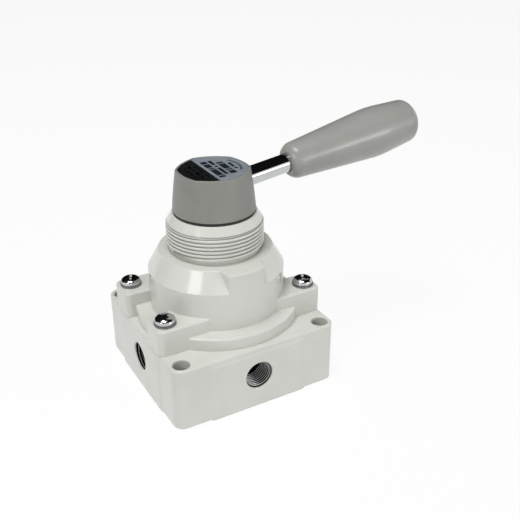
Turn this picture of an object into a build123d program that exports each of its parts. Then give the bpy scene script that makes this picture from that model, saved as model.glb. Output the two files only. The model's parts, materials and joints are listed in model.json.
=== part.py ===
from build123d import *
import os
from math import atan, cos, degrees, radians, sin, sqrt, tan

# Hand lever air valve of the rotary disc kind, in millimetres.
# +Z is the valve axis and the origin is the centre of the underside.
# The lever points along +X in its middle position.

# Port block
body_side = 60.0
body_height = 22.5
body_corner_radius = 3.5
body_edge_chamfer = 0.5
pad_width = 35.2
pad_rise = 0.3
pad_top_gap = 1.2
pad_slope_width = 1.5
port_height = 11.7
port_radius = 4.86
port_depth = 9.0
port_chamfer = 0.35
gallery_radius = 2.5
gallery_circle_radius = 11.5
mount_hole_inset = 4.3
mount_hole_radius = 2.75
mount_hole_chamfer = 0.4
chamber_radius = 20.0
pocket_depth = 4.5

# Bonnet
flange_radius = 28.0
flange_thickness = 4.3
lug_height = 9.0
lug_inner_y = 8.0
lug_outer_y = 19.5
lug_corner_radius = 2.0
dome_radius = 23.0
dome_rise = 1.3
shoulder_rise = 6.6
shoulder_top_radius = 19.2
groove_width = 1.3
groove_depth = 1.2
collar_radius = 16.3
collar_length = 12.8
collar_lip_radius = 14.1
collar_lip_height = 2.65
collar_thread_depth = 0.5
boss_width = 12.2
boss_root_width = 16.0
boss_angle = 270.0
bonnet_edge_chamfer = 0.4

# Screws that hold the bonnet down
screw_inset = 4.3
screw_spacing_y = 29.4
screw_radius = 2.0
screw_length = 16.0
screw_head_radius = 3.4
screw_head_height = 2.2
thread_depth_spare = 1.5
spring_washer_radius = 3.6
spring_washer_thickness = 0.8
spring_washer_gap = 0.8

# Seat plate, its seals and dowels
seat_thickness = 3.0
port_seal_inner_radius = 2.6
port_seal_section = 1.5
port_seal_height = 1.1
dowel_radius = 1.5
dowel_circle_radius = 15.5
dowel_angle = 45.0
dowel_depth = 4.0
body_seal_radius = 22.4
body_seal_section = 1.9
body_seal_height = 1.3

# Rotor disc
rotor_radius = 18.5
rotor_thickness = 6.0
kidney_depth = 3.0
kidney_span = 90.0
rotor_relief_radius = 5.0
rotor_relief_depth = 0.6
drive_pin_radius = 2.0
drive_pin_circle_radius = 10.5
drive_pin_rotor_depth = 2.6
drive_pin_spindle_depth = 3.5
drive_gap = 2.45
rotor_spring_radius = 4.9
rotor_spring_wire = 1.2
rotor_spring_turns = 2.5
spring_seat_depth = 1.5
spring_wire_sides = 4

# Spindle
spindle_radius = 6.0
drive_radius = 17.0
drive_thickness = 7.5
square_side = 9.0
square_length = 7.3
bush_wall = 2.0
bush_length = 9.0
spindle_seal_height = 2.0
spindle_seal_depth = 1.3
spindle_seal_spacing = 4.0
spindle_seal_top_gap = 3.2
thrust_washer_outer_radius = 9.6

# Detent and end stops
turn_limit = 45.0
detent_ring_thickness = 1.5
detent_ring_inner_radius = 10.0
detent_circle_radius = 13.0
detent_pocket_depth = 0.5
detent_land_gap = 0.3
ball_radius = 2.0
ball_spring_radius = 1.5
ball_spring_wire = 0.6
ball_spring_turns = 3.0
ball_bore_depth = 6.8
stop_pin_radius = 1.5
stop_pin_press_depth = 4.0
stop_slot_depth = 3.3
stop_angle = 90.0

# Cap, label and the screw beneath it
cap_height = 13.35
cap_base_radius = 13.75
cap_base_roundness = 0.99
cap_flat_count = 6
cap_flat_radius = 10.3
cap_corner_radius = 1.5
cap_turn = 6.0
cap_edge_chamfer = 0.2
cap_rim = 0.15
dust_ring_height = 1.0
dust_ring_radius = 13.6
label_thickness = 0.4
label_recess = 0.55
cap_screw_radius = 2.0
cap_screw_length = 10.0
cap_screw_head_radius = 3.5
cap_screw_head_height = 2.0
cap_washer_radius = 4.4
cap_washer_thickness = 0.8
cap_web = 1.6

# Lever, measured along its own axis from the valve axis, which it meets above the cap's underside
lever_rise = 6.25
lever_tilt = 8.1
lever_rod_radius = 3.25
lever_thread_radius = 3.0
lever_socket_start = 6.2
lever_shoulder = 10.6
lever_rod_end = 58.0
lever_grip_thread = 14.0
grip_start = 28.0
grip_length = 54.0
grip_nose_length = 3.0
grip_face_radius = 4.6
grip_neck_radius = 6.3
grip_belly_place = 35.5
grip_belly_radius = 9.0
grip_belly_round = 45.0
grip_crown_length = 4.2
grip_crown_radius = 7.7
grip_crown_round = 3.4

# Clearances
running_gap = 0.05
seal_gap = 0.02
seat_gap = 0.1
thread_gap = 0.02
clearance_hole_gap = 0.25

# Spacings worked out from the block, and heights from the stack of pieces
mount_hole_spacing = body_side - 2 * mount_hole_inset
screw_spacing_x = body_side - 2 * screw_inset
pocket_floor = body_height - pocket_depth
seat_top = pocket_floor + seat_thickness
rotor_bottom = seat_top + running_gap
rotor_top = rotor_bottom + rotor_thickness
drive_bottom = rotor_top + drive_gap
drive_top = drive_bottom + drive_thickness
detent_land = drive_top + detent_land_gap
ceiling = detent_land + detent_ring_thickness
flange_top = body_height + flange_thickness
lug_top = body_height + lug_height
dome_top = ceiling + dome_rise
shoulder_top = dome_top + shoulder_rise
groove_top = shoulder_top + groove_width
collar_top = shoulder_top + collar_length
cap_bottom = collar_top + running_gap + dust_ring_height
cap_top = cap_bottom + cap_height
lever_height = cap_bottom + lever_rise
spindle_top = cap_bottom + square_length
cap_counterbore_floor = spindle_top + running_gap + cap_web
quarter_turns = (0, 90, 180, 270)
base_align = (Align.CENTER, Align.CENTER, Align.MIN)


def disc(radius, bottom, top):
    return Pos(0, 0, bottom) * Cylinder(radius, top - bottom, align=base_align)


def tube(inner, outer, bottom, top):
    return disc(outer, bottom, top) - disc(inner, bottom, top)


def place_polar(radius, angle, height=0.0):
    return Pos(radius * cos(radians(angle)), radius * sin(radians(angle)), height)


def grid_places(spacing_x, spacing_y):
    return [(sx * spacing_x / 2, sy * spacing_y / 2) for sx in (-1, 1) for sy in (-1, 1)]


def squashed_ring(inner, section, height, bottom):
    # An elastomer ring of square section as it lies in its groove, pressed flat against its walls.
    return tube(inner, inner + section, bottom, bottom + height)


def coil_spring(mean_radius, wire_diameter, bottom, top, turns):
    # Bottom and top are the heights of the wire's centre at its two ends.
    height = top - bottom
    path = Helix(pitch=height / turns, height=height, radius=mean_radius)
    section = Plane(path @ 0, z_dir=path % 0) * RegularPolygon(wire_diameter / 2, spring_wire_sides)
    wire = sweep(path=path, sections=section, is_frenet=True)
    return Pos(0, 0, bottom) * wire


def port_cutters():
    # The threaded mouth, its drilled gallery and the rise to the seat, for one port on +X.
    face = body_side / 2
    bore_end = face - port_depth
    mouth = Pos(bore_end, 0, port_height) * Rot(0, 90, 0) * Cylinder(
        port_radius, port_depth + 1, align=base_align)
    bevel = Pos(face - port_chamfer, 0, port_height) * Rot(0, 90, 0) * Cone(
        port_radius, port_radius + 2 * port_chamfer, 2 * port_chamfer, align=base_align)
    gallery = Pos(gallery_circle_radius, 0, port_height) * Rot(0, 90, 0) * Cylinder(
        gallery_radius, bore_end - gallery_circle_radius, align=base_align)
    riser = Pos(gallery_circle_radius, 0, 0) * disc(gallery_radius, port_height, pocket_floor + 1)
    seal_radius = port_seal_inner_radius + port_seal_section + seat_gap
    seal_pocket = Pos(gallery_circle_radius, 0, 0) * disc(
        seal_radius, pocket_floor - port_seal_height, pocket_floor + 1)
    return [mouth, bevel, gallery, riser, seal_pocket]


def port_pad():
    # The slightly raised middle of a side face, with sloping sides and top.
    height = body_height - pad_top_gap
    base = Pos(body_side / 2 - pad_rise, 0, 0) * Rot(0, 90, 0) * Rectangle(
        2 * height, pad_width, align=(Align.CENTER, Align.CENTER))
    crest = Pos(body_side / 2, 0, 0) * Rot(0, 90, 0) * Rectangle(
        2 * (height - pad_slope_width), pad_width - 2 * pad_slope_width, align=(Align.CENTER, Align.CENTER))
    pad = loft([base, crest])
    root = Pos(body_side / 2 - pad_rise, 0, 0) * Box(
        2 * pad_rise, pad_width, 2 * height, align=(Align.MAX, Align.CENTER, Align.CENTER))
    upper_half = Pos(body_side / 2, 0, 0) * Box(
        4 * pad_rise, 2 * pad_width, 2 * height, align=(Align.CENTER, Align.CENTER, Align.MIN))
    return (pad + root) & upper_half


def make_valve_body():
    core_side = body_side - 2 * pad_rise
    body = extrude(RectangleRounded(core_side, core_side, body_corner_radius), body_height)
    rims = body.edges().group_by(Axis.Z)
    body = chamfer(rims[0] + rims[-1], body_edge_chamfer)
    for angle in quarter_turns:
        body += Rot(0, 0, angle) * port_pad()
    cutters = [disc(chamber_radius, pocket_floor, body_height + 1)]
    for angle in quarter_turns:
        cutters += [Rot(0, 0, angle) * cutter for cutter in port_cutters()]
    seal_outer = body_seal_radius + body_seal_section
    cutters.append(tube(
        body_seal_radius - seat_gap, seal_outer, body_height - body_seal_height, body_height + 1))
    screw_reach = lug_top + spring_washer_thickness - screw_length
    for x, y in grid_places(screw_spacing_x, screw_spacing_y):
        cutters.append(Pos(x, y, 0) * disc(
            screw_radius + thread_gap, screw_reach - thread_depth_spare, body_height + 1))
    for x, y in grid_places(mount_hole_spacing, mount_hole_spacing):
        cutters.append(Pos(x, y, 0) * disc(mount_hole_radius, -1, body_height + 1))
        cutters.append(Pos(x, y, body_height - mount_hole_chamfer) * Cone(
            mount_hole_radius, mount_hole_radius + 2 * mount_hole_chamfer, 2 * mount_hole_chamfer,
            align=base_align))
    for angle in (dowel_angle, dowel_angle + 180):
        cutters.append(place_polar(dowel_circle_radius, angle) * disc(
            dowel_radius, pocket_floor - dowel_depth, pocket_floor + 1))
    return body - cutters


def make_body_seal():
    return squashed_ring(body_seal_radius, body_seal_section - seat_gap, body_seal_height,
                         body_height - body_seal_height)


def make_port_seals():
    seal = squashed_ring(
        port_seal_inner_radius, port_seal_section, port_seal_height, pocket_floor - port_seal_height)
    return [place_polar(gallery_circle_radius, angle) * seal for angle in quarter_turns]


def make_seat_plate():
    plate = disc(chamber_radius - seat_gap, pocket_floor, seat_top)
    for angle in quarter_turns:
        plate -= place_polar(gallery_circle_radius, angle) * disc(
            gallery_radius, pocket_floor - 1, seat_top + 1)
    for angle in (dowel_angle, dowel_angle + 180):
        plate -= place_polar(dowel_circle_radius, angle) * disc(
            dowel_radius + thread_gap, pocket_floor - 1, seat_top + 1)
    return plate


def make_seat_dowels():
    dowel = disc(dowel_radius, pocket_floor - dowel_depth, seat_top - 0.5)
    dowel = chamfer(dowel.edges().filter_by(GeomType.CIRCLE), 0.25)
    return [place_polar(dowel_circle_radius, dowel_angle + turn) * dowel for turn in (0, 180)]


def make_rotor_disc():
    # Two kidney recesses join neighbouring ports at either end of the turn and none in the middle.
    rotor = disc(rotor_radius, rotor_bottom, rotor_top)
    rotor = chamfer(rotor.edges().group_by(Axis.Z)[-1], 0.5)
    rotor -= disc(rotor_relief_radius, rotor_bottom - 1, rotor_bottom + rotor_relief_depth)
    path = CenterArc((0, 0), gallery_circle_radius, -kidney_span / 2, kidney_span)
    kidney = Pos(0, 0, rotor_bottom - 1) * extrude(SlotArc(path, 2 * gallery_radius), kidney_depth + 1)
    rotor -= [kidney, Rot(0, 0, 180) * kidney]
    rotor -= disc(rotor_spring_radius + rotor_spring_wire, rotor_top - spring_seat_depth, rotor_top + 1)
    for angle in (90, 270):
        rotor -= place_polar(drive_pin_circle_radius, angle) * disc(
            drive_pin_radius + running_gap, rotor_top - drive_pin_rotor_depth - seat_gap, rotor_top + 1)
    return rotor


def make_rotor_spring():
    half_wire = rotor_spring_wire / 2
    bottom = rotor_top - spring_seat_depth + half_wire
    top = drive_bottom + spring_seat_depth - half_wire
    return coil_spring(rotor_spring_radius, rotor_spring_wire, bottom, top, rotor_spring_turns)


def make_drive_pins():
    pin = disc(drive_pin_radius, rotor_top - drive_pin_rotor_depth, drive_bottom + drive_pin_spindle_depth)
    pin = chamfer(pin.edges().filter_by(GeomType.CIRCLE), 0.3)
    return [place_polar(drive_pin_circle_radius, angle) * pin for angle in (90, 270)]


def spindle_seal_places():
    top = collar_top - spindle_seal_top_gap
    return [top - spindle_seal_height, top - spindle_seal_height - spindle_seal_spacing]


def make_spindle():
    spindle = disc(drive_radius, drive_bottom, drive_top)
    spindle = chamfer(spindle.edges().filter_by(GeomType.CIRCLE), 0.5)
    spindle += disc(spindle_radius, drive_top - 1, cap_bottom)
    square = Pos(0, 0, cap_bottom - 1) * Box(square_side, square_side, square_length + 1, align=base_align)
    spindle += square & disc(spindle_radius, cap_bottom - 1, spindle_top)
    spindle -= disc(
        rotor_spring_radius + rotor_spring_wire, drive_bottom - 1, drive_bottom + spring_seat_depth)
    spindle -= disc(cap_screw_radius + thread_gap, cap_counterbore_floor - cap_screw_length, spindle_top + 1)
    for angle in (90, 270):
        spindle -= place_polar(drive_pin_circle_radius, angle) * disc(
            drive_pin_radius, drive_bottom - 1, drive_bottom + drive_pin_spindle_depth)
    for angle in (0, 180):
        spindle -= place_polar(detent_circle_radius, angle) * disc(
            ball_radius + running_gap, drive_top - ball_bore_depth, drive_top + 1)
    spare = degrees(2 * seat_gap / detent_circle_radius)
    path = CenterArc((0, 0), detent_circle_radius, stop_angle - turn_limit - spare, 2 * (turn_limit + spare))
    slot = extrude(SlotArc(path, 2 * (stop_pin_radius + seat_gap)), stop_slot_depth + 1)
    spindle -= Pos(0, 0, drive_top - stop_slot_depth) * slot
    for bottom in spindle_seal_places():
        spindle -= tube(spindle_radius - spindle_seal_depth, spindle_radius + 1,
                        bottom - seat_gap, bottom + spindle_seal_height + seat_gap)
    return spindle


def make_spindle_seals():
    inner = spindle_radius - spindle_seal_depth
    section = spindle_radius + running_gap - seal_gap - inner
    return [squashed_ring(inner, section, spindle_seal_height, bottom) for bottom in spindle_seal_places()]


def make_spindle_bush():
    inner = spindle_radius + running_gap
    return tube(inner, inner + bush_wall, ceiling, ceiling + bush_length)


def make_thrust_washer():
    return tube(spindle_radius + 3 * seat_gap, thrust_washer_outer_radius, drive_top + running_gap, ceiling)


def make_detent_ring():
    # Three shallow pockets face each ball: one at the middle and one at each end of the turn.
    ring = tube(detent_ring_inner_radius, chamber_radius - seat_gap, detent_land, ceiling)
    centre = detent_land + detent_pocket_depth - ball_radius
    for side in (0, 180):
        for turn in (-turn_limit, 0, turn_limit):
            ring -= place_polar(detent_circle_radius, side + turn, centre) * Sphere(ball_radius)
    ring -= place_polar(detent_circle_radius, stop_angle) * disc(
        stop_pin_radius, detent_land - 1, ceiling + 1)
    return ring


def ball_centre_height():
    return detent_land - running_gap - ball_radius


def make_detent_balls():
    return [place_polar(detent_circle_radius, angle, ball_centre_height()) * Sphere(ball_radius)
            for angle in (0, 180)]


def make_detent_springs():
    # The top turn touches the ball where wire and ball are tangent.
    half_wire = ball_spring_wire / 2
    bottom = drive_top - ball_bore_depth + half_wire
    reach = sqrt((ball_radius + half_wire + seal_gap) ** 2 - ball_spring_radius ** 2)
    top = ball_centre_height() - reach
    spring = coil_spring(ball_spring_radius, ball_spring_wire, bottom, top, ball_spring_turns)
    return [place_polar(detent_circle_radius, angle) * spring for angle in (0, 180)]


def make_stop_pin():
    pin = disc(stop_pin_radius, drive_top - stop_slot_depth + 2 * seat_gap, ceiling + stop_pin_press_depth)
    pin = chamfer(pin.edges().filter_by(GeomType.CIRCLE), 0.25)
    return place_polar(detent_circle_radius, stop_angle) * pin


def bonnet_lugs():
    # One pair of bolt lugs on each side, flush with the block and run into the dome.
    lugs = []
    width = lug_outer_y - lug_inner_y
    length = body_side / 2 - collar_radius / 2
    for sx in (-1, 1):
        for sy in (-1, 1):
            lug = Pos(sx * (body_side / 2 - length / 2), sy * (lug_inner_y + width / 2), body_height) * Box(
                length, width, lug_height, align=base_align)
            outer = lug.edges().filter_by(Axis.Z).group_by(Axis.X)[-1 if sx > 0 else 0]
            lug = fillet(outer, lug_corner_radius)
            lug = chamfer(lug.edges().group_by(Axis.Z)[-1], bonnet_edge_chamfer)
            lugs.append(lug)
    return lugs


def bonnet_shell():
    # The turned outer form: flange, dome, sloping shoulder, ledge, undercut and collar with a tapered lip.
    flange = disc(flange_radius, body_height, flange_top)
    flange = chamfer(flange.edges().group_by(Axis.Z)[-1], bonnet_edge_chamfer)
    thread_root = collar_radius - collar_thread_depth
    with BuildSketch(Plane.XZ) as section:
        with BuildLine():
            Line((0, body_height), (dome_radius, body_height))
            Line((dome_radius, body_height), (dome_radius, dome_top))
            Line((dome_radius, dome_top), (shoulder_top_radius, shoulder_top))
            Line((shoulder_top_radius, shoulder_top), (collar_radius - groove_depth, shoulder_top))
            Line((collar_radius - groove_depth, shoulder_top), (collar_radius - groove_depth, groove_top))
            Line((collar_radius - groove_depth, groove_top), (thread_root, groove_top))
            Line((thread_root, groove_top), (thread_root, collar_top - collar_lip_height))
            Line((thread_root, collar_top - collar_lip_height), (collar_lip_radius, collar_top))
            Line((collar_lip_radius, collar_top), (0, collar_top))
            Line((0, collar_top), (0, body_height))
        make_face()
    return flange + revolve(section.sketch, Axis.Z)


def index_boss():
    # A raised block on the front of the dome, flush with its wall and level with its ledge.
    column = disc(dome_radius, body_height, shoulder_top)
    column = chamfer(column.edges().group_by(Axis.Z)[-1], bonnet_edge_chamfer)
    outline = Polygon((collar_radius, -boss_root_width / 2), (dome_radius, -boss_width / 2),
                      (dome_radius, boss_width / 2), (collar_radius, boss_root_width / 2), align=None)
    keep = Pos(0, 0, body_height) * extrude(outline, shoulder_top - body_height)
    return Rot(0, 0, boss_angle) * (column & keep)


def make_bonnet():
    bonnet = bonnet_shell() + bonnet_lugs() + index_boss()
    bonnet -= disc(chamber_radius, body_height - 1, ceiling)
    bonnet -= disc(spindle_radius + running_gap + bush_wall, ceiling - 1, ceiling + bush_length)
    bonnet -= disc(spindle_radius + running_gap, ceiling, collar_top + 1)
    bonnet -= place_polar(detent_circle_radius, stop_angle) * disc(
        stop_pin_radius, ceiling - 1, ceiling + stop_pin_press_depth)
    for x, y in grid_places(screw_spacing_x, screw_spacing_y):
        bonnet -= Pos(x, y, 0) * disc(screw_radius + clearance_hole_gap, body_height - 1, lug_top + 1)
    return bonnet


def pan_head_screw(radius, length, head_radius, head_height):
    # The underside of the head is at the origin and the shank points down.
    shank = disc(radius, -length, 0)
    with BuildSketch(Plane.XZ) as section:
        with BuildLine():
            Line((0, 0), (head_radius, 0))
            Line((head_radius, 0), (head_radius, 0.35 * head_height))
            TangentArc((0, head_height), (head_radius, 0.35 * head_height), tangent=(1, 0))
            Line((0, head_height), (0, 0))
        make_face()
    return shank + revolve(section.sketch, Axis.Z)


def make_bonnet_screws():
    screw = pan_head_screw(screw_radius, screw_length, screw_head_radius, screw_head_height)
    seat = lug_top + spring_washer_thickness
    return [Pos(x, y, seat) * screw for x, y in grid_places(screw_spacing_x, screw_spacing_y)]


def make_spring_washers():
    # Split rings, flattened by the tightened screw.
    washer = tube(screw_radius + clearance_hole_gap, spring_washer_radius, lug_top,
                  lug_top + spring_washer_thickness)
    washer -= Pos(spring_washer_radius / 2, 0, lug_top) * Box(
        spring_washer_radius, spring_washer_gap, 3 * spring_washer_thickness)
    return [Pos(x, y, 0) * washer for x, y in grid_places(screw_spacing_x, screw_spacing_y)]


def make_dust_ring():
    return tube(spindle_radius + 2 * seat_gap, dust_ring_radius, collar_top + running_gap, cap_bottom)


def soft_hexagon(flat_radius, corner_radius):
    rotation = 180 / cap_flat_count + cap_turn
    outline = RegularPolygon(flat_radius, cap_flat_count, major_radius=False, rotation=rotation)
    return fillet(outline.vertices(), corner_radius)


def cap_outline(inset):
    return soft_hexagon(cap_flat_radius - inset, cap_corner_radius - inset)


def cap_form():
    # A hub that is all but round at its base and takes on six soft flats towards its top.
    base = soft_hexagon(cap_base_radius, cap_base_roundness * cap_base_radius)
    sections = [Pos(0, 0, cap_bottom) * base, Pos(0, 0, cap_top - cap_edge_chamfer) * cap_outline(0),
                Pos(0, 0, cap_top) * cap_outline(cap_edge_chamfer)]
    return loft(sections, ruled=True)


def label_outline(clearance):
    # It follows the cap's flats, inside its rim.
    return cap_outline(cap_rim + cap_edge_chamfer + clearance)


def lever_frame():
    return Pos(0, 0, lever_height) * Rot(0, -lever_tilt, 0)


def along_lever(radius, start, end):
    return lever_frame() * Pos(start, 0, 0) * Rot(0, 90, 0) * Cylinder(radius, end - start, align=base_align)


def make_cap():
    cap = cap_form()
    socket = Pos(0, 0, cap_bottom - 1) * Box(
        square_side + 2 * running_gap, square_side + 2 * running_gap, square_length + running_gap + 1,
        align=base_align)
    cap -= socket & disc(spindle_radius + running_gap, cap_bottom - 1, spindle_top + running_gap)
    cap -= disc(cap_screw_radius + clearance_hole_gap, spindle_top, cap_top)
    cap -= disc(cap_washer_radius + seat_gap, cap_counterbore_floor, cap_top)
    cap -= Pos(0, 0, cap_top - label_recess) * extrude(label_outline(0), label_recess + 1)
    cap -= along_lever(lever_thread_radius + thread_gap, lever_socket_start, lever_shoulder + 1)
    cap -= along_lever(lever_rod_radius + thread_gap, lever_shoulder, 2 * cap_base_radius)
    return cap


def make_cap_screw():
    seat = cap_counterbore_floor + cap_washer_thickness
    return Pos(0, 0, seat) * pan_head_screw(
        cap_screw_radius, cap_screw_length, cap_screw_head_radius, cap_screw_head_height)


def make_cap_washer():
    return tube(cap_screw_radius + clearance_hole_gap, cap_washer_radius, cap_counterbore_floor,
                cap_counterbore_floor + cap_washer_thickness)


def make_label_disc():
    return Pos(0, 0, cap_top - label_recess) * extrude(label_outline(seat_gap), label_thickness)


def make_lever_rod():
    # Both ends are turned down for their threads, so two shoulders stop the rod.
    rod = along_lever(lever_rod_radius, lever_shoulder + seat_gap, lever_rod_end - lever_grip_thread)
    rod += along_lever(lever_thread_radius, lever_socket_start + seat_gap, lever_rod_end)
    return rod


def make_lever_grip():
    # A nose round the rod, a long flank to the belly, a short back taper and a domed end.
    end = grip_start + grip_length
    neck = (grip_start + grip_nose_length, grip_neck_radius)
    belly = (grip_start + grip_belly_place, grip_belly_radius)
    crown = (end - grip_crown_length, grip_crown_radius)
    slope = (belly[0] - neck[0], belly[1] - neck[1])
    back_length = crown[0] - belly[0]
    turn = atan(slope[1] / slope[0]) + atan((belly[1] - crown[1]) / back_length)
    largest_round = back_length / tan(turn / 2) / 2
    with BuildSketch(Plane.XY) as section:
        with BuildLine():
            Line((grip_start, 0), (grip_start, grip_face_radius))
            TangentArc(neck, (grip_start, grip_face_radius), tangent=(-slope[0], -slope[1]))
            Line(neck, belly)
            Line(belly, crown)
            TangentArc((end, 0), crown, tangent=(0, 1))
            Line((end, 0), (grip_start, 0))
        make_face()
        corners = section.vertices().group_by(Axis.Y)
        fillet(corners[-1], min(grip_belly_round, largest_round))
        fillet(section.vertices().sort_by_distance(crown)[0], grip_crown_round)
    grip = lever_frame() * revolve(section.sketch, Axis.X)
    grip -= along_lever(lever_rod_radius + thread_gap, grip_start - 1, lever_rod_end - lever_grip_thread)
    grip -= along_lever(lever_thread_radius + thread_gap, lever_rod_end - lever_grip_thread - 1,
                        lever_rod_end + seat_gap)
    return grip


pieces = {
    "valve_body": make_valve_body,
    "body_seal": make_body_seal,
    "port_seals": make_port_seals,
    "seat_plate": make_seat_plate,
    "seat_dowels": make_seat_dowels,
    "bonnet": make_bonnet,
    "bonnet_screws": make_bonnet_screws,
    "spring_washers": make_spring_washers,
    "spindle_bush": make_spindle_bush,
    "thrust_washer": make_thrust_washer,
    "detent_ring": make_detent_ring,
    "stop_pin": make_stop_pin,
    "rotor_disc": make_rotor_disc,
    "rotor_spring": make_rotor_spring,
    "drive_pins": make_drive_pins,
    "spindle": make_spindle,
    "spindle_seals": make_spindle_seals,
    "detent_balls": make_detent_balls,
    "detent_springs": make_detent_springs,
    "dust_ring": make_dust_ring,
    "cap": make_cap,
    "cap_washer": make_cap_washer,
    "cap_screw": make_cap_screw,
    "label_disc": make_label_disc,
    "lever_rod": make_lever_rod,
    "lever_grip": make_lever_grip,
}

os.makedirs("parts", exist_ok=True)
for name, make_piece in pieces.items():
    made = make_piece()
    solids = made if isinstance(made, list) else [made]
    export_step(Compound(children=solids) if len(solids) > 1 else solids[0], f"parts/{name}.step")
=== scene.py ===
import json
import math
import bmesh
import bpy
from mathutils import Matrix, Vector


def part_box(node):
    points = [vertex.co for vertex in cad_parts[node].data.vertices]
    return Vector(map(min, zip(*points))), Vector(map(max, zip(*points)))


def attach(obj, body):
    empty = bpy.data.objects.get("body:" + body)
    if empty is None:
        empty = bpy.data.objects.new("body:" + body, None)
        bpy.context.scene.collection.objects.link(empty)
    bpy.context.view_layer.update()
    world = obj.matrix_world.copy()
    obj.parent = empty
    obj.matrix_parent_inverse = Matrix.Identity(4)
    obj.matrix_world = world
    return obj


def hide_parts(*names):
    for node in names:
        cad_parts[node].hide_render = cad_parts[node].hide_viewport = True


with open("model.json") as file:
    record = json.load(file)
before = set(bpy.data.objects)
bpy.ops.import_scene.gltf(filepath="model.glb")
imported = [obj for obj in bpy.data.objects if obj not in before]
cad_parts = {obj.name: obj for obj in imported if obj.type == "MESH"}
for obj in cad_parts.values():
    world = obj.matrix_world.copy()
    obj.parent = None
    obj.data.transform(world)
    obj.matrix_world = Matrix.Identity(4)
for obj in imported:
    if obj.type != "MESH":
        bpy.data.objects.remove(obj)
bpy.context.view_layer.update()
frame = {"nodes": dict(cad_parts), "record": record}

mm = 0.001                      # the frame is in metres, every size below in millimetres
fullTurn = 2 * math.pi


def fromHex(text):
    channels = [int(text[i:i + 2], 16) / 255 for i in (1, 3, 5)]
    linear = [c / 12.92 if c <= 0.04045 else ((c + 0.055) / 1.055) ** 2.4 for c in channels]
    return (*linear, 1.0)


def perSize(millimetres):       # texture scale that gives features of this size
    return 1 / (millimetres * mm)


def boxOf(node):                # a frame node's two corners in millimetres
    low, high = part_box(node)
    return Vector(low) / mm, Vector(high) / mm


def addNode(tree, kind, settings=None, links=None):
    node = tree.nodes.new(kind)
    for name, value in (settings or {}).items():
        if isinstance(name, int) or name in node.inputs:
            node.inputs[name].default_value = value
        else:
            setattr(node, name, value)
    for name, source in (links or {}).items():
        tree.links.new(source, node.inputs[name])
    return node


def startMaterial(name):
    material = bpy.data.materials.new(name)
    material.use_nodes = True
    tree = material.node_tree
    tree.nodes.clear()
    shader = addNode(tree, "ShaderNodeBsdfPrincipled")
    addNode(tree, "ShaderNodeOutputMaterial", links={"Surface": shader.outputs[0]})
    place = addNode(tree, "ShaderNodeTexCoord").outputs["Object"]
    return material, tree, shader, place


# painted highlight and edge wear: the share mixes a lighter colour in along every edge
def wornAndHighlitEdges(tree, softness, edgeWearAndHighlight):    # a rounded normal, and a share that grows where edges wear and catch light
    soft = addNode(tree, "ShaderNodeBevel", {"samples": 8, "Radius": softness * mm})
    sharp = addNode(tree, "ShaderNodeNewGeometry")
    turn = addNode(tree, "ShaderNodeVectorMath", {"operation": "DOT_PRODUCT"},
                   {0: soft.outputs[0], 1: sharp.outputs["Normal"]})
    share = addNode(tree, "ShaderNodeMapRange", {"From Min": edgeWearAndHighlight["from"], "From Max": edgeWearAndHighlight["to"],
                                                 "To Max": edgeWearAndHighlight["most"]}, {"Value": turn.outputs["Value"]})
    return soft.outputs[0], share.outputs[0]


def feedShader(tree, shader, colour, roughness, bump):
    tree.links.new(colour.outputs[2], shader.inputs["Base Color"])
    tree.links.new(roughness.outputs[0], shader.inputs["Roughness"])
    tree.links.new(bump.outputs[0], shader.inputs["Normal"])


# Light grey baked enamel over die cast aluminium: even, half gloss, faint orange peel, soft edges lightened
# by painted highlight and worn paint, and bare aluminium where the taps cut through it in the ports, painted near black
# as shade
enamelLook = {"colour": "#D4D5CF", "tint": "#CECFC8", "edge": "#E4E5E0", "speck": "#AEAEA6",
              "roughness": 0.14, "ior": 1.5, "orangePeel": 1.1, "peelDepth": 0.006, "waviness": 14.0,
              "specks": 6.0, "speckShare": 0.05, "glossLow": -0.02, "glossHigh": 0.05,
              "edgeWearAndHighlight": {"from": 0.995, "to": 0.86, "most": 0.7}}
# bare aluminium inside the ports, coloured near black as painted shade deep in the bores
shadedBoreMetal = {"colour": "#20211F", "tint": "#151614", "roughness": 0.38, "toolMarks": 0.25,
              "radius": 4.9, "mouthFrom": 29.35}        # bare from a little behind the enamelled mouth inwards
portHeight = 11.7
boreAcross = ((0, 1, 1), (1, 0, 1))     # the axes across each pair of ports
threadGroove = {"from": 16.2, "to": 15.85, "shade": "#8B8C86"}      # painted shade darkens the collar thread's roots


def boreGap(tree, place):       # how far a point lies from the nearest port's axis
    nearest = None
    for axes in boreAcross:
        across = addNode(tree, "ShaderNodeVectorMath", {"operation": "MULTIPLY", 1: axes}, {0: place})
        gap = addNode(tree, "ShaderNodeVectorMath", {"operation": "DISTANCE", 1: (0, 0, portHeight * mm)},
                      {0: across.outputs[0]}).outputs["Value"]
        if nearest:
            gap = addNode(tree, "ShaderNodeMath", {"operation": "MINIMUM"}, {0: gap, 1: nearest}).outputs[0]
        nearest = gap
    return nearest


# the share also carries the painted shade inside the ports
def shadedBoreShare(tree, place):    # 1 on the bare metal inside the ports, 0 on the enamel
    inside = addNode(tree, "ShaderNodeMath", {"operation": "LESS_THAN", 1: shadedBoreMetal["radius"] * mm},
                     {0: boreGap(tree, place)})
    mirrored = addNode(tree, "ShaderNodeVectorMath", {"operation": "ABSOLUTE"}, {0: place})
    sides = addNode(tree, "ShaderNodeSeparateXYZ", {}, {0: mirrored.outputs[0]})
    reach = addNode(tree, "ShaderNodeMath", {"operation": "MAXIMUM"}, {0: sides.outputs[0], 1: sides.outputs[1]})
    behind = addNode(tree, "ShaderNodeMath", {"operation": "LESS_THAN", 1: shadedBoreMetal["mouthFrom"] * mm},
                     {0: reach.outputs[0]})
    both = addNode(tree, "ShaderNodeMath", {"operation": "MULTIPLY"}, {0: inside.outputs[0], 1: behind.outputs[0]})
    return both.outputs[0]


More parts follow.
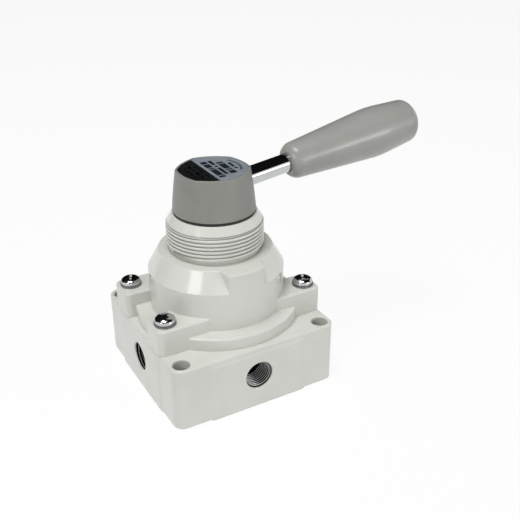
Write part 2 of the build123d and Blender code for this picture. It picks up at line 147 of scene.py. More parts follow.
def bakedEnamel(name, edgeSoftness, shadedGrooves=False):
    look = enamelLook
    material, tree, shader, place = startMaterial(name)
    shader.inputs["IOR"].default_value = look["ior"]
    soft, edge = wornAndHighlitEdges(tree, edgeSoftness, look["edgeWearAndHighlight"])
    cloud = addNode(tree, "ShaderNodeTexNoise", {"Scale": perSize(look["waviness"]), "Detail": 3.0}, {"Vector": place})
    cloudShare = addNode(tree, "ShaderNodeMapRange", {"From Min": 0.35, "From Max": 0.7}, {"Value": cloud.outputs[0]})
    paint = addNode(tree, "ShaderNodeMix", {"data_type": "RGBA", 6: fromHex(look["colour"]), 7: fromHex(look["tint"])},
                    {0: cloudShare.outputs[0]})
    dust = addNode(tree, "ShaderNodeTexVoronoi", {"Scale": perSize(look["specks"])}, {"Vector": place})
    dustShare = addNode(tree, "ShaderNodeMapRange", {"From Min": look["speckShare"], "From Max": 0.02, "To Max": 0.35},
                        {"Value": dust.outputs["Distance"]})
    dusted = addNode(tree, "ShaderNodeMix", {"data_type": "RGBA", 7: fromHex(look["speck"])},
                     {0: dustShare.outputs[0], 6: paint.outputs[2]})
    # painted highlight and worn paint: the pale edge colour is mixed in along the edges
    edged = addNode(tree, "ShaderNodeMix", {"data_type": "RGBA", 7: fromHex(look["edge"])},
                    {0: edge, 6: dusted.outputs[2]})
    # painted shade: the colour darkens towards the thread's roots, nearer the collar's wall
    if shadedGrooves:
        flat = addNode(tree, "ShaderNodeVectorMath", {"operation": "MULTIPLY", 1: (1, 1, 0)}, {0: place})
        reach = addNode(tree, "ShaderNodeVectorMath", {"operation": "LENGTH"}, {0: flat.outputs[0]})
        depth = addNode(tree, "ShaderNodeMapRange", {"From Min": threadGroove["from"] * mm,
                                                     "From Max": threadGroove["to"] * mm},
                        {"Value": reach.outputs["Value"]})
        edged = addNode(tree, "ShaderNodeMix", {"data_type": "RGBA", 7: fromHex(threadGroove["shade"])},
                        {0: depth.outputs[0], 6: edged.outputs[2]})
    gloss = addNode(tree, "ShaderNodeMapRange", {"To Min": look["roughness"] + look["glossLow"],
                                                 "To Max": look["roughness"] + look["glossHigh"]},
                    {"Value": cloud.outputs[0]})
    # painted shade: behind the mouth, the bare metal inside the ports is coloured near black
    shadedBore = shadedBoreShare(tree, place)
    marks = addNode(tree, "ShaderNodeTexNoise", {"Scale": perSize(shadedBoreMetal["toolMarks"])}, {"Vector": place})
    metal = addNode(tree, "ShaderNodeMix", {"data_type": "RGBA", 6: fromHex(shadedBoreMetal["colour"]),
                                            7: fromHex(shadedBoreMetal["tint"])}, {0: marks.outputs[0]})
    colour = addNode(tree, "ShaderNodeMix", {"data_type": "RGBA"}, {0: shadedBore, 6: edged.outputs[2], 7: metal.outputs[2]})
    roughness = addNode(tree, "ShaderNodeMix", {3: shadedBoreMetal["roughness"]}, {0: shadedBore, 2: gloss.outputs[0]})
    peel = addNode(tree, "ShaderNodeTexNoise", {"Scale": perSize(look["orangePeel"]), "Detail": 2.0}, {"Vector": place})
    bump = addNode(tree, "ShaderNodeBump", {"Strength": 0.8, "Distance": look["peelDepth"] * mm},
                   {"Height": peel.outputs[0], "Normal": soft})
    tree.links.new(shadedBore, shader.inputs["Metallic"])
    feedShader(tree, shader, colour, roughness, bump)
    return material


# Grey ABS from a spark eroded mould: dull sheen, very fine even grain, faint flow marks, edges lightened by painted
# highlight and worn resin
capAbsLook = {"name": "mouldedCapAbs", "colour": "#878882", "tint": "#80817B", "edge": "#A9AAA4",
              "roughness": 0.42, "ior": 1.53, "grain": 0.35, "grainDepth": 0.008, "flow": 12.0, "edgeSoftness": 0.25,
              "glossLow": -0.05, "glossHigh": 0.09, "edgeWearAndHighlight": {"from": 0.99, "to": 0.8, "most": 0.8}}
# Grey polypropylene grip: a little glossier than the cap, with the slight mottling that hands leave, and edges
# lightened by painted highlight and worn resin
gripLook = {"name": "mouldedGripPolypropylene", "colour": "#9A9A96", "tint": "#92928E", "edge": "#A8A8A4",
            "roughness": 0.27, "ior": 1.49, "grain": 0.5, "grainDepth": 0.010, "flow": 16.0, "edgeSoftness": 0.4,
            "glossLow": -0.05, "glossHigh": 0.09, "edgeWearAndHighlight": {"from": 0.99, "to": 0.8, "most": 0.8}}


def mouldedPlastic(look):
    material, tree, shader, place = startMaterial(look["name"])
    shader.inputs["IOR"].default_value = look["ior"]
    soft, edge = wornAndHighlitEdges(tree, look["edgeSoftness"], look["edgeWearAndHighlight"])
    flow = addNode(tree, "ShaderNodeTexNoise", {"Scale": perSize(look["flow"]), "Detail": 4.0, "Distortion": 0.6},
                   {"Vector": place})
    flowShare = addNode(tree, "ShaderNodeMapRange", {"From Min": 0.35, "From Max": 0.7}, {"Value": flow.outputs[0]})
    resin = addNode(tree, "ShaderNodeMix", {"data_type": "RGBA", 6: fromHex(look["colour"]), 7: fromHex(look["tint"])},
                    {0: flowShare.outputs[0]})
    # painted highlight and worn resin: the pale edge colour is mixed in along the edges
    edged = addNode(tree, "ShaderNodeMix", {"data_type": "RGBA", 7: fromHex(look["edge"])},
                    {0: edge, 6: resin.outputs[2]})
    grain = addNode(tree, "ShaderNodeTexNoise", {"Scale": perSize(look["grain"]), "Detail": 3.0}, {"Vector": place})
    bump = addNode(tree, "ShaderNodeBump", {"Strength": 0.7, "Distance": look["grainDepth"] * mm},
                   {"Height": grain.outputs[0], "Normal": soft})
    gloss = addNode(tree, "ShaderNodeMapRange", {"To Min": look["roughness"] + look["glossLow"],
                                                 "To Max": look["roughness"] + look["glossHigh"]},
                    {"Value": flow.outputs[0]})
    feedShader(tree, shader, edged, gloss, bump)
    return material


# Steels and bronze, told apart by their colour, gloss and the marks of their making
metalLooks = {
    "chromedRod": {"colour": "#C6C8C9", "tint": "#BCBEC0", "roughness": 0.05, "marks": 0.6, "stretch": (0.15, 4, 4),
                   "depth": 0.0006},            # hard chrome on ground bar: mirror bright, hair lines along the bar
    "chromedScrews": {"colour": "#C3C4C4", "tint": "#AFB0B0", "roughness": 0.12, "marks": 0.8, "stretch": (1, 1, 1),
                      "depth": 0.004},          # bright plated screws: slightly soft reflections
    "springSteel": {"colour": "#8A8B8A", "tint": "#6E6F6D", "roughness": 0.28, "marks": 0.5, "stretch": (1, 1, 1),
                    "depth": 0.006},            # drawn wire and washers: grey, satin
    "lappedSteel": {"colour": "#BDBEBD", "tint": "#ABACAA", "roughness": 0.16, "marks": 0.25, "stretch": (1, 1, 1),
                    "depth": 0.001},            # lapped faces: even, fine, almost a mirror
    "bearingSteel": {"colour": "#C9CACB", "tint": "#BABBBB", "roughness": 0.08, "marks": 0.4, "stretch": (1, 1, 1),
                     "depth": 0.001},           # ground pins and balls: bright
    "turnedSteel": {"colour": "#B4B5B4", "tint": "#9D9E9C", "roughness": 0.24, "marks": 0.3, "stretch": (0.3, 0.3, 6),
                    "depth": 0.004},            # turned shaft: fine rings round the axis
    "tappedAluminium": {"colour": "#C6C7C4", "tint": "#8C8D8A", "roughness": 0.42, "marks": 0.3, "stretch": (1, 1, 1),
                        "depth": 0.006, "root": "#151614", "crestTo": 4.38,
                        "rootFrom": 4.56},      # bare thread: bright crests over roots painted near black as shade
    "sinteredBronze": {"colour": "#B98E55", "tint": "#9B7440", "roughness": 0.42, "marks": 0.35, "stretch": (1, 1, 1),
                       "depth": 0.012}}         # sintered bush: warm, open grained
metalGloss = {"low": 0.8, "high": 1.5}  # shares of a metal's roughness, between its smooth and its marked places


def metalFinish(name):
    look = metalLooks[name]
    material, tree, shader, place = startMaterial(name)
    shader.inputs["Metallic"].default_value = 1.0
    stretched = addNode(tree, "ShaderNodeMapping", {"Scale": look["stretch"]}, {"Vector": place})
    marks = addNode(tree, "ShaderNodeTexNoise", {"Scale": perSize(look["marks"]), "Detail": 3.0},
                    {"Vector": stretched.outputs[0]})
    marksShare = addNode(tree, "ShaderNodeMapRange", {"From Min": 0.4, "From Max": 0.7}, {"Value": marks.outputs[0]})
    metal = addNode(tree, "ShaderNodeMix", {"data_type": "RGBA", 6: fromHex(look["colour"]), 7: fromHex(look["tint"])},
                    {0: marksShare.outputs[0]})
    gloss = addNode(tree, "ShaderNodeMapRange", {"To Min": look["roughness"] * metalGloss["low"],
                                                 "To Max": look["roughness"] * metalGloss["high"]},
                    {"Value": marks.outputs[0]})
    bump = addNode(tree, "ShaderNodeBump", {"Strength": 0.5, "Distance": look["depth"] * mm},
                   {"Height": marks.outputs[0]})
    # painted shade: towards the bore's wall the thread's roots turn near black
    if "root" in look:
        rootShare = addNode(tree, "ShaderNodeMapRange", {"From Min": look["crestTo"] * mm,
                                                         "From Max": look["rootFrom"] * mm},
                            {"Value": boreGap(tree, place)})
        metal = addNode(tree, "ShaderNodeMix", {"data_type": "RGBA", 7: fromHex(look["root"])},
                        {0: rootShare.outputs[0], 6: metal.outputs[2]})
    feedShader(tree, shader, metal, gloss, bump)
    return material


# Black nitrile rubber: matt, deep black with the grey bloom of moulded seals
nitrileLook = {"colour": "#161615", "bloom": "#2A2A29", "roughness": 0.62, "ior": 1.52, "bloomSize": 2.5,
               "grain": 0.3, "grainDepth": 0.01, "glossSpread": 0.1}


def nitrileRubber():
    look = nitrileLook
    material, tree, shader, place = startMaterial("nitrileRubber")
    shader.inputs["IOR"].default_value = look["ior"]
    bloom = addNode(tree, "ShaderNodeTexNoise", {"Scale": perSize(look["bloomSize"]), "Detail": 4.0}, {"Vector": place})
    bloomShare = addNode(tree, "ShaderNodeMapRange", {"From Min": 0.45, "From Max": 0.75}, {"Value": bloom.outputs[0]})
    rubber = addNode(tree, "ShaderNodeMix", {"data_type": "RGBA", 6: fromHex(look["colour"]),
                                             7: fromHex(look["bloom"])},
                     {0: bloomShare.outputs[0]})
    grain = addNode(tree, "ShaderNodeTexNoise", {"Scale": perSize(look["grain"])}, {"Vector": place})
    bump = addNode(tree, "ShaderNodeBump", {"Strength": 0.6, "Distance": look["grainDepth"] * mm},
                   {"Height": grain.outputs[0]})
    gloss = addNode(tree, "ShaderNodeMapRange", {"To Min": look["roughness"] - look["glossSpread"],
                                                 "To Max": look["roughness"] + look["glossSpread"]},
                    {"Value": bloom.outputs[0]})
    feedShader(tree, shader, rubber, gloss, bump)
    return material


# Printed polyester label and its inks: smooth film with a low satin sheen
printLooks = {
    "labelFilm": {"colour": "#8C929A", "tint": "#81878F", "roughness": 0.3},
    "labelBlackInk": {"colour": "#0E0F11", "tint": "#1A1B1E", "roughness": 0.34},
    "labelBlueInk": {"colour": "#161C26", "tint": "#222A36", "roughness": 0.34},
    "labelGreenInk": {"colour": "#56625F", "tint": "#4C5856", "roughness": 0.34},
    "labelPaleInk": {"colour": "#A4A8AC", "tint": "#84888C", "roughness": 0.34}}
printGrain = {"ior": 1.58, "cloud": 3.0, "screen": 0.3, "depth": 0.002, "glossLow": -0.06, "glossHigh": 0.08}


def printedFilm(name):
    look = printLooks[name]
    material, tree, shader, place = startMaterial(name)
    shader.inputs["IOR"].default_value = printGrain["ior"]
    cloud = addNode(tree, "ShaderNodeTexNoise", {"Scale": perSize(printGrain["cloud"]), "Detail": 3.0},
                    {"Vector": place})
    cloudShare = addNode(tree, "ShaderNodeMapRange", {"From Min": 0.4, "From Max": 0.65}, {"Value": cloud.outputs[0]})
    ink = addNode(tree, "ShaderNodeMix", {"data_type": "RGBA", 6: fromHex(look["colour"]), 7: fromHex(look["tint"])},
                  {0: cloudShare.outputs[0]})
    screen = addNode(tree, "ShaderNodeTexVoronoi", {"Scale": perSize(printGrain["screen"])}, {"Vector": place})
    bump = addNode(tree, "ShaderNodeBump", {"Strength": 0.4, "Distance": printGrain["depth"] * mm},
                   {"Height": screen.outputs["Distance"]})
    gloss = addNode(tree, "ShaderNodeMapRange", {"To Min": look["roughness"] + printGrain["glossLow"],
                                                 "To Max": look["roughness"] + printGrain["glossHigh"]},
                    {"Value": cloud.outputs[0]})
    feedShader(tree, shader, ink, gloss, bump)
    return material


finishes = {"painted_casting": bakedEnamel("bakedEnamelOnCasting", 0.45), "nitrile_rubber": nitrileRubber(),
            "lapped_steel": metalFinish("lappedSteel"), "bearing_steel": metalFinish("bearingSteel"),
            "spring_steel": metalFinish("springSteel"), "chromed_screws": metalFinish("chromedScrews"),
            "turned_steel": metalFinish("turnedSteel"), "bronze": metalFinish("sinteredBronze"),
            "moulded_cap": mouldedPlastic(capAbsLook), "moulded_grip": mouldedPlastic(gripLook),
            "chromed_rod": metalFinish("chromedRod"), "printed_label": printedFilm("labelFilm")}
inks = {name: printedFilm(name) for name in printLooks if name != "labelFilm"}
threadEnamel = bakedEnamel("bakedEnamelOnThread", 0.1, shadedGrooves=True)    # the same paint with crisper edges, and painted shade in the thread's roots
tappedMetal = metalFinish("tappedAluminium")
print("materials ready:", len(finishes) + len(inks) + 2)


# Every frame node gets the finish that the record names for it
for subpart in frame["record"]["subparts"]:
    piece = frame["nodes"][subpart["node"]]
    piece.data.materials.clear()
    piece.data.materials.append(finishes[subpart["material_slot"]])
print("frame nodes finished:", len(frame["nodes"]))


def makePiece(name, vertices, faces, body, slot, material=None, smoothAngle=35):
    mesh = bpy.data.meshes.new(name)
    mesh.from_pydata([Vector(v) * mm for v in vertices], [], faces)
    tidy = bmesh.new()
    tidy.from_mesh(mesh)
    bmesh.ops.remove_doubles(tidy, verts=tidy.verts, dist=1e-7)
    bmesh.ops.recalc_face_normals(tidy, faces=tidy.faces)
    tidy.to_mesh(mesh)
    tidy.free()
    mesh.shade_smooth()
    mesh.set_sharp_from_angle(angle=math.radians(smoothAngle))
    piece = bpy.data.objects.new(name, mesh)
    bpy.context.scene.collection.objects.link(piece)
    mesh.materials.append(material or finishes[slot])
    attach(piece, body)
    return piece


def ringFaces(rings, perRing, closed=True):     # quads between neighbouring rings of points
    faces = []
    for r in range(rings - 1):
        for i in range(perRing if closed else perRing - 1):
            j = (i + 1) % perRing
            faces.append((r * perRing + i, r * perRing + j, (r + 1) * perRing + j, (r + 1) * perRing + i))
    return faces


def threadRidge(thread, bottom, top, limit=None):
    # one ridge wound round Z, sunk a little in its wall, fading out at both ends and kept within the limit
    wall, crest, pitch, perTurn = (thread[k] for k in ("wallRadius", "crestRadius", "pitch", "stepsPerTurn"))
    outward = 1 if crest > wall else -1
    foot, head = pitch * (1 - thread["rootShare"]) / 2, pitch * thread["crestShare"] / 2
    steps = round(((top - bottom) / pitch - 1) * perTurn)
    fadeSteps = perTurn / 8
    section = ((-0.06, -foot), (1 - thread["crown"], -head), (1, -head * 0.6), (1, head * 0.6),
               (1 - thread["crown"], head), (-0.06, foot))      # share of the ridge's height, place along the axis
    vertices = []
    for i in range(steps + 1):
        angle = fullTurn * i / perTurn + math.radians(thread["startAngle"])
        middle = bottom + pitch * (0.5 + i / perTurn)
        fade = max(0.02, min(1, i / fadeSteps, (steps - i) / fadeSteps))
        for share, lift in section:
            radius = wall + (crest - wall) * share * fade if share > 0 else wall + outward * share
            if limit:
                radius = min(radius, limit(middle + lift))
            vertices.append((radius * math.cos(angle), radius * math.sin(angle), middle + lift))
    count = len(section)
    ends = [tuple(range(count)), tuple(count * steps + k for k in reversed(range(count)))]
    return vertices, ringFaces(steps + 1, count) + ends


def lathe(profile, steps=64):
    # profile runs from the axis to the axis, so the form closes by itself
    inner = profile[1:-1]
    vertices = [(r * math.cos(fullTurn * i / steps), r * math.sin(fullTurn * i / steps), z)
                for r, z in inner for i in range(steps)]
    faces = ringFaces(len(inner), steps)
    first, last = len(vertices), len(vertices) + 1
    vertices += [(0, 0, profile[0][1]), (0, 0, profile[-1][1])]
    base = (len(inner) - 1) * steps
    for i in range(steps):
        j = (i + 1) % steps
        faces.append((first, j, i))
        faces.append((last, base + i, base + j))
    return vertices, faces


def plainObject(name, vertices, faces):
    mesh = bpy.data.meshes.new(name)
    mesh.from_pydata(vertices, [], faces)
    thing = bpy.data.objects.new(name, mesh)
    bpy.context.scene.collection.objects.link(thing)
    return thing


def cutAway(blank, cutters):
    # the cuts are made in millimetres, where the solver is exact, and read back as plain points
    whole = plainObject("blank", *blank)
    tools = [plainObject("cutter", *cutter) for cutter in cutters]
    for tool in tools:
        cut = whole.modifiers.new("cut", "BOOLEAN")
        cut.operation, cut.solver, cut.object = "DIFFERENCE", "EXACT", tool
    cutMesh = bpy.data.meshes.new_from_object(whole.evaluated_get(bpy.context.evaluated_depsgraph_get()))
    result = [tuple(v.co) for v in cutMesh.vertices], [tuple(p.vertices) for p in cutMesh.polygons]
    for thing in [whole] + tools:
        bpy.data.objects.remove(thing)
    return result


def moved(vertices, matrix):
    return [matrix @ Vector(v) for v in vertices]


def joined(parts):
    vertices, faces = [], []
    for partVertices, partFaces in parts:
        start = len(vertices)
        vertices += partVertices
        faces += [tuple(start + k for k in face) for face in partFaces]
    return vertices, faces


# Panel thread on the bonnet's collar, its upper turns cut away by the lip's taper
collarThread = {"pitch": 1.3, "wallRadius": 15.8, "crestRadius": 16.3, "length": 8.85, "crestShare": 0.6,
                "rootShare": 0.0, "crown": 0.25, "stepsPerTurn": 120, "startAngle": 184, "lipRadius": 14.1,
                "lipHeight": 2.65, "underLip": 0.04}

collarTop = boxOf("bonnet")[1].z
lipSlope = (collarThread["wallRadius"] - collarThread["lipRadius"]) / collarThread["lipHeight"]
threadTop = collarTop - collarThread["lipHeight"]


def withinLip(height):          # the ridge runs in beneath the lip's cone
    return collarThread["lipRadius"] + (collarTop - height) * lipSlope - collarThread["underLip"]


vertices, faces = threadRidge(collarThread, threadTop - collarThread["length"],
                              threadTop + collarThread["pitch"], withinLip)
makePiece("collar_thread", vertices, faces, "valve", "painted_casting", threadEnamel, smoothAngle=50)


# Pipe threads in the four ports
portThread = {"pitch": 0.907, "wallRadius": 4.86, "crestRadius": 4.32, "fromFace": 0.3, "length": 8.2,
              "crestShare": 0.2, "rootShare": 0.12, "crown": 0.15, "stepsPerTurn": 48,
              "startAngle": 200}

along = boxOf("valve_body")[1].x - portThread["fromFace"]
ridge = threadRidge(portThread, along - portThread["length"], along)
ports = []
for quarter in range(4):
    turn = Matrix.Translation((0, 0, portHeight)) @ Matrix.Rotation(quarter * math.pi / 2, 4, "Z") \
        @ Matrix.Rotation(math.pi / 2, 4, "Y")
    ports.append((moved(ridge[0], turn), ridge[1]))
makePiece("port_threads", *joined(ports), "valve", "painted_casting", tappedMetal, smoothAngle=50)
print("threads cut")


# Cross recessed pan head screws that hold the bonnet
screw = {"headRadius": 3.4, "headHeight": 2.2, "rimHeight": 0.7, "shankRadius": 2.0, "rootRadius": 1.62,
         "pitch": 0.7, "length": 16.0, "recessReach": 1.95, "recessWidth": 0.85, "recessDepth": 1.5,
         "recessTaper": 0.55, "neck": 1.0, "edgeRound": 0.15, "turns": (18, 64, -25, 40)}
# one thread of the screw's outline: share of the pitch, and whether it is at the shank's radius
screwTooth = ((0.0, False), (0.3, True), (0.45, True), (0.8, False))


def screwProfile():
    root, shank, head, rim = screw["rootRadius"], screw["shankRadius"], screw["headRadius"], screw["rimHeight"]
    tip, edge, pitch = -screw["length"], screw["edgeRound"], screw["pitch"]
    profile = [(0, tip), (root, tip)]
    for i in range(int((screw["length"] - 1.5 * screw["neck"]) / pitch)):
        low = tip + 0.3 + i * pitch
        profile += [(shank if outer else root, low + share * pitch) for share, outer in screwTooth]
    profile += [(root, -screw["neck"]), (shank, -0.8 * screw["neck"]), (shank, 0)]
    profile += [(head - edge, 0), (head, edge), (head, rim)]
    arcSteps = 14
    for i in range(1, arcSteps):        # the pan head's crown, fuller than an ellipse
        t = i / arcSteps * math.pi / 2
        profile.append((head * math.cos(t) ** 0.8, rim + (screw["headHeight"] - rim) * math.sin(t)))
    return profile + [(0, screw["headHeight"])]


def recessCutter():
    # two crossed tapered blades, a little proud of the head so that they cut clean
    top = screw["headHeight"] + 0.6
    floor = screw["headHeight"] - screw["recessDepth"]
    blades = []
    for turnAngle in (0, math.pi / 2):
        vertices = []
        for z, share in ((floor, screw["recessTaper"]), (top, 1.0)):
            reach, half = screw["recessReach"] * share, screw["recessWidth"] / 2 * (0.6 + 0.4 * share)
            vertices += [(-reach, -half, z), (reach, -half, z), (reach, half, z), (-reach, half, z)]
        faces = [(3, 2, 1, 0), (4, 5, 6, 7), (0, 1, 5, 4), (1, 2, 6, 5), (2, 3, 7, 6), (3, 0, 4, 7)]
        blades.append((moved(vertices, Matrix.Rotation(turnAngle, 4, "Z")), faces))
    return blades


screwHigh = boxOf("bonnet_screws")[1]
seat = screwHigh.z - screw["headHeight"]
reachX, reachY = screwHigh.x - screw["headRadius"], screwHigh.y - screw["headRadius"]
cutForm = cutAway(lathe(screwProfile()), recessCutter())
fitted = []
for (sx, sy), turnAngle in zip(((-1, -1), (-1, 1), (1, -1), (1, 1)), screw["turns"]):
    spot = Matrix.Translation((sx * reachX, sy * reachY, seat)) @ Matrix.Rotation(math.radians(turnAngle), 4, "Z")
    fitted.append((moved(cutForm[0], spot), cutForm[1]))
screws = makePiece("cross_recessed_screws", *joined(fitted), "valve", "chromed_screws", smoothAngle=30)
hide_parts("bonnet_screws")
print("screws cut")


# The cap: six soft flats at its top that melt into a round base, with the lever's hole, the spindle's square
# socket, the screw's counterbore and the shallow seat of the label
cap = {"baseRadius": 13.78, "flatRadius": 11.3, "cornerRadius": 1.2, "roundRadius": 11.9, "roundShare": 0.64,
       "turn": 6.0, "belly": 0.12, "rimRound": 0.3, "rimWidth": 0.5, "seatDepth": 0.55, "socketSide": 9.1,
       "socketDepth": 7.35, "boreRadius": 4.5, "boreDepth": 4.4, "holeRadius": 2.25, "rodHole": 3.3,
       "rodShoulder": 10.6, "leverRise": 6.25, "leverTilt": 8.1}
label = {"gap": 0.1, "thickness": 0.4}

capBottom, capTop = boxOf("cap")[0].z, boxOf("cap")[1].z


def hexagonReach(flat, corner, angle):          # reach of a six sided outline with round corners, in one direction
    sector = abs((angle - math.radians(cap["turn"]) + math.pi / 6) % (math.pi / 3) - math.pi / 6)
    if math.tan(sector) * flat < math.tan(math.pi / 6) * (flat - corner):
        return flat / math.cos(sector)
    centre = (flat - corner) / math.cos(math.pi / 6)
    fromCorner = math.pi / 6 - sector
    return centre * math.cos(fromCorner) + math.sqrt(corner ** 2 - (centre * math.sin(fromCorner)) ** 2)


def capOutline(inset, steps=180):
    flat, corner = cap["flatRadius"] - inset, cap["cornerRadius"] - inset
    share, outline = cap["roundShare"], []
    for angle in [fullTurn * i / steps for i in range(steps)]:      # flats that swell towards a circle
        reach = (1 - share) * hexagonReach(flat, corner, angle) + share * (cap["roundRadius"] - inset)
        outline.append((reach * math.cos(angle), reach * math.sin(angle)))
    return outline


def stacked(outlines):          # a closed form through outlines of equal count, each with its height
    count = len(outlines[0][0])
    vertices = [(x, y, z) for outline, z in outlines for x, y in outline]
    faces = ringFaces(len(outlines), count)
    return vertices, faces + [tuple(reversed(range(count))), tuple(range(len(vertices) - count, len(vertices)))]


def capForm():
    top = capOutline(0)
    angles = [fullTurn * i / len(top) for i in range(len(top))]
    base = [(cap["baseRadius"] * math.cos(a), cap["baseRadius"] * math.sin(a)) for a in angles]
    outlines = []
    for step in range(13):
        share = step / 12
        swell = 1 + cap["belly"] / cap["baseRadius"] * math.sin(math.pi * share)
        outline = [(((1 - share) * bx + share * tx) * swell, ((1 - share) * by + share * ty) * swell)
                   for (bx, by), (tx, ty) in zip(base, top)]
        outlines.append((outline, capBottom + share * (capTop - cap["rimRound"] - capBottom)))
    for step in range(1, 5):
        turn = step / 4 * math.pi / 2
        outlines.append((capOutline(cap["rimRound"] * (1 - math.cos(turn))),
                         capTop - cap["rimRound"] * (1 - math.sin(turn))))
    outlines.append((capOutline(cap["rimWidth"]), capTop))
    outlines.append((capOutline(cap["rimWidth"]), capTop - cap["seatDepth"]))
    return stacked(outlines)


def capCutters():
    side, floorHeight = cap["socketSide"] / 2, capTop - cap["boreDepth"]
    square = [(-side, -side), (side, -side), (side, side), (-side, side)]
    socket = stacked([(square, capBottom - 1), (square, capBottom + cap["socketDepth"])])
    bore = lathe([(0, floorHeight), (cap["boreRadius"], floorHeight), (cap["boreRadius"], capTop), (0, capTop)])
    hole = lathe([(0, capBottom), (cap["holeRadius"], capBottom), (cap["holeRadius"], capTop), (0, capTop)], 48)
    rod = lathe([(0, cap["rodShoulder"]), (cap["rodHole"], cap["rodShoulder"]), (cap["rodHole"], 20), (0, 20)])
    along = Matrix.Translation((0, 0, capBottom + cap["leverRise"])) \
        @ Matrix.Rotation(math.pi / 2 - math.radians(cap["leverTilt"]), 4, "Y")
    return [socket, bore, hole, (moved(rod[0], along), rod[1])]


capPiece = makePiece("soft_flat_cap", *cutAway(capForm(), capCutters()), "lever_unit", "moulded_cap", smoothAngle=30)
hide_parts("cap")
labelTop = capTop - cap["seatDepth"] + label["thickness"]
labelFilm = capOutline(cap["rimWidth"] + label["gap"])
labelPiece = makePiece("label_film", *stacked([(labelFilm, labelTop - label["thickness"]), (labelFilm, labelTop)]),
                       "lever_unit", "printed_label")
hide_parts("label_disc")
print("cap and label made")


# Print on the label: a black field, rows of plain bars and a curved band for the lever's travel
labelPrint = {"margin": 0.15, "ink": 0.02, "bite": 0.01, "chord": -2.4, "arcRadius": 9.1, "arcWidth": 0.8,
              "arcSpan": 66}
# rows of bars: their near edge, width, lengths, first end and the gap between two bars
darkRows = ((-1.5, 2.2, (1.4, 5.6, 0.9, 3.1, 2.2), -8.2, 0.5), (1.3, 1.2, (6.3, 1.1, 4.2), -6.4, 0.9),
            (3.2, 2.3, (2.6, 1.0, 4.6, 1.3), -6.6, 0.55), (6.4, 1.0, (1.2, 3.9), -3.4, 0.8))
paleRows = ((-8.4, 0.5, (1.2, 2.0, 1.2, 1.6), -4.4, 1.0), (-6.6, 0.9, (0.9, 1.8, 0.7, 1.4), -5.4, 1.9),
            (-4.4, 0.4, (2.4, 1.0, 3.0), -6.0, 2.4))


def inkPatch(outline):          # a flat printed shape, as thin as a thick ink
    low, high = labelTop - labelPrint["bite"], labelTop + labelPrint["ink"]
    count = len(outline)
    vertices = [(x, y, low) for x, y in outline] + [(x, y, high) for x, y in outline]
    sides = [(i, (i + 1) % count, count + (i + 1) % count, count + i) for i in range(count)]
    return vertices, sides + [tuple(reversed(range(count))), tuple(range(count, 2 * count))]


def blackHalf():
    rim = capOutline(cap["rimWidth"] + label["gap"] + labelPrint["margin"])
    start = next(i for i, (x, y) in enumerate(rim) if x >= labelPrint["chord"] and rim[i - 1][0] < labelPrint["chord"])
    ordered = rim[start:] + rim[:start]
    return inkPatch([(x, y) for x, y in ordered if x < labelPrint["chord"]])


def inkBar(x, y, width, length):
    return inkPatch([(x, y), (x + width, y), (x + width, y + length), (x, y + length)])


def inkArc(radius, width, span, steps=40):
    angles = [math.radians(span * (i / steps - 0.5)) for i in range(steps + 1)]
    outer = [((radius + width / 2) * math.cos(a), (radius + width / 2) * math.sin(a)) for a in angles]
    inner = [((radius - width / 2) * math.cos(a), (radius - width / 2) * math.sin(a)) for a in reversed(angles)]
    return inkPatch(outer + inner)


def barRows(rows):
    bars = []
    for x, width, lengths, y, gap in rows:
        for length in lengths:
            bars.append(inkBar(x, y, width, length))
            y += length + gap
    return joined(bars)


arcBand = inkArc(labelPrint["arcRadius"], labelPrint["arcWidth"], labelPrint["arcSpan"])
for name, form, ink in (("label_black_half", blackHalf(), "labelBlackInk"),
                        ("label_dark_bars", barRows(darkRows), "labelBlueInk"),
                        ("label_position_arc", arcBand, "labelGreenInk"),
                        ("label_pale_marks", barRows(paleRows), "labelPaleInk")):
    makePiece(name, *form, "lever_unit", "printed_label", inks[ink])
print("label printed")


# Floor, lights and camera
floorLook = {"colour": "#F4F4F3", "fibre": "#F1F1F0", "fibreSize": 1.2, "reach": 3000.0, "below": 0.02, "glow": 0.9}


def seenDirectly(tree):         # 1 for the eye and for what metal and gloss mirror, 0 for light on other things
    rays = addNode(tree, "ShaderNodeLightPath")
    share = rays.outputs["Is Camera Ray"]
    for kind in ("Is Glossy Ray", "Is Transmission Ray"):
        share = addNode(tree, "ShaderNodeMath", {"operation": "MAXIMUM"}, {0: share, 1: rays.outputs[kind]}).outputs[0]
    return share


def paperFloor():
    # white paper sweep: plain matt white, whose glow for the eye leaves the object's own shadow
    material, tree, shader, place = startMaterial("paperSweep")
    shader.inputs["Roughness"].default_value = 0.9
    fibre = addNode(tree, "ShaderNodeTexNoise", {"Scale": perSize(floorLook["fibreSize"]), "Detail": 2.0},
                    {"Vector": place})
    paper = addNode(tree, "ShaderNodeMix", {"data_type": "RGBA", 6: fromHex(floorLook["colour"]),
                                            7: fromHex(floorLook["fibre"])},
                    {0: fibre.outputs[0]})
    tree.links.new(paper.outputs[2], shader.inputs["Base Color"])
    glow = addNode(tree, "ShaderNodeEmission", {"Color": (1, 1, 1, 1), "Strength": 1.0})
    share = addNode(tree, "ShaderNodeMath", {"operation": "MULTIPLY", 1: floorLook["glow"]}, {0: seenDirectly(tree)})
    blend = addNode(tree, "ShaderNodeMixShader", links={0: share.outputs[0], 1: shader.outputs[0], 2: glow.outputs[0]})
    output = next(n for n in tree.nodes if n.type == "OUTPUT_MATERIAL")
    tree.links.new(blend.outputs[0], output.inputs["Surface"])
    return material


half, depth = floorLook["reach"], -floorLook["below"]
corners = ((-half, -half, depth), (half, -half, depth), (half, half, depth), (-half, half, depth))
floor = plainObject("paper_floor", [Vector(v) * mm for v in corners], [(0, 1, 2, 3)])
floor.data.materials.append(paperFloor())


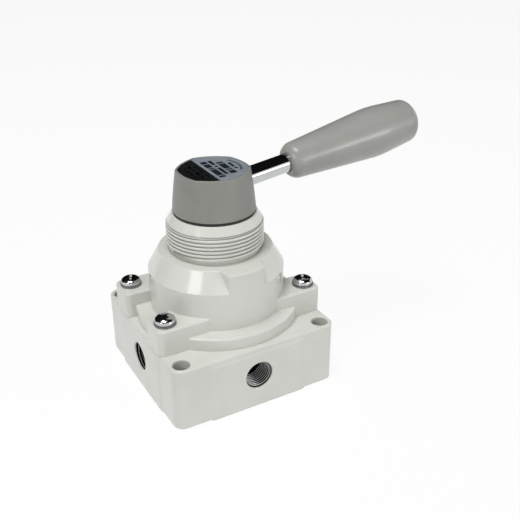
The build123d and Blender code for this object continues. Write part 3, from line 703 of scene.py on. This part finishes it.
def aimedAt(place, target, roll=0.0):
    look = Vector(target) - Vector(place)
    return Matrix.Translation(Vector(place)) @ look.to_track_quat("-Z", "Y").to_matrix().to_4x4() \
        @ Matrix.Rotation(math.radians(roll), 4, "Z")


# softboxes: direction from the object, distance and size in millimetres, power in watts
softboxes = {
    "overhead": {"direction": (-0.20, -0.12, 0.97), "distance": 800, "size": (420, 300), "power": 4.1},
    "window": {"direction": (-0.785, -0.383, 0.488), "distance": 620, "size": (215, 150), "power": 0.66},
    "front": {"direction": (0.50, -0.84, 0.20), "distance": 700, "size": (280, 110), "power": 1.0}}
lightTarget = (0, 0, 0.035)

for name, box in softboxes.items():
    lamp = bpy.data.lights.new(name + "Softbox", "AREA")
    lamp.shape = "RECTANGLE"
    lamp.size, lamp.size_y = (side * mm for side in box["size"])
    lamp.energy = box["power"]
    lampObject = bpy.data.objects.new(name + "Softbox", lamp)
    bpy.context.scene.collection.objects.link(lampObject)
    place = Vector(lightTarget) + Vector(box["direction"]).normalized() * box["distance"] * mm
    lampObject.matrix_world = aimedAt(place, lightTarget)

# a dark cloth hung in an arch from the front over the top to the back, which only reflections see,
# so that bright metal has something black to mirror
darkArch = {"radius": 1100, "reach": 1800, "from": 33, "to": 178, "steps": 24, "shade": "#0C0C0C"}


def hangArch():
    points = []
    for i in range(darkArch["steps"] + 1):
        angle = math.radians(darkArch["from"] + (darkArch["to"] - darkArch["from"]) * i / darkArch["steps"])
        for side in (-1, 1):
            points.append(Vector((side * darkArch["reach"], -darkArch["radius"] * math.cos(angle),
                                  darkArch["radius"] * math.sin(angle))) * mm + Vector(lightTarget))
    faces = [(2 * i, 2 * i + 1, 2 * i + 3, 2 * i + 2) for i in range(darkArch["steps"])]
    material, tree, shader, place = startMaterial("blackVelvet")
    shader.inputs["Base Color"].default_value = fromHex(darkArch["shade"])
    shader.inputs["Roughness"].default_value = 1.0
    arch = plainObject("dark_arch", points, faces)
    arch.data.materials.append(material)
    arch.visible_camera = arch.visible_diffuse = arch.visible_shadow = False
    arch.visible_transmission = arch.visible_volume_scatter = False


hangArch()

skyLook = {"ambient": "#FFFFFF", "ambientStrength": 0.3}
world = bpy.data.worlds.new("studioSky")
world.use_nodes = True
bpy.context.scene.world = world
sky = world.node_tree
sky.nodes.clear()
ambient = addNode(sky, "ShaderNodeBackground", {"Color": fromHex(skyLook["ambient"]),
                                                "Strength": skyLook["ambientStrength"]})
white = addNode(sky, "ShaderNodeBackground", {"Color": (1, 1, 1, 1), "Strength": 1.0})
mixed = addNode(sky, "ShaderNodeMixShader",
                links={0: seenDirectly(sky), 1: ambient.outputs[0], 2: white.outputs[0]})
addNode(sky, "ShaderNodeOutputWorld", links={"Surface": mixed.outputs[0]})

cameraSet = {"lens": 52.7, "place": (-0.10056, -0.20703, 0.16009), "aim": (0.013092, -0.007268, 0.040679),
             "roll": -0.167}
cameraData = bpy.data.cameras.new("photoCamera")
cameraData.lens = cameraSet["lens"]
cameraData.sensor_width = 36.0
cameraData.clip_start, cameraData.clip_end = 0.01, 20.0
camera = bpy.data.objects.new("photoCamera", cameraData)
bpy.context.scene.collection.objects.link(camera)
camera.matrix_world = aimedAt(cameraSet["place"], cameraSet["aim"], cameraSet["roll"])
bpy.context.scene.camera = camera
bpy.context.scene.view_settings.view_transform = "Standard"
print("stage, lights and camera set")
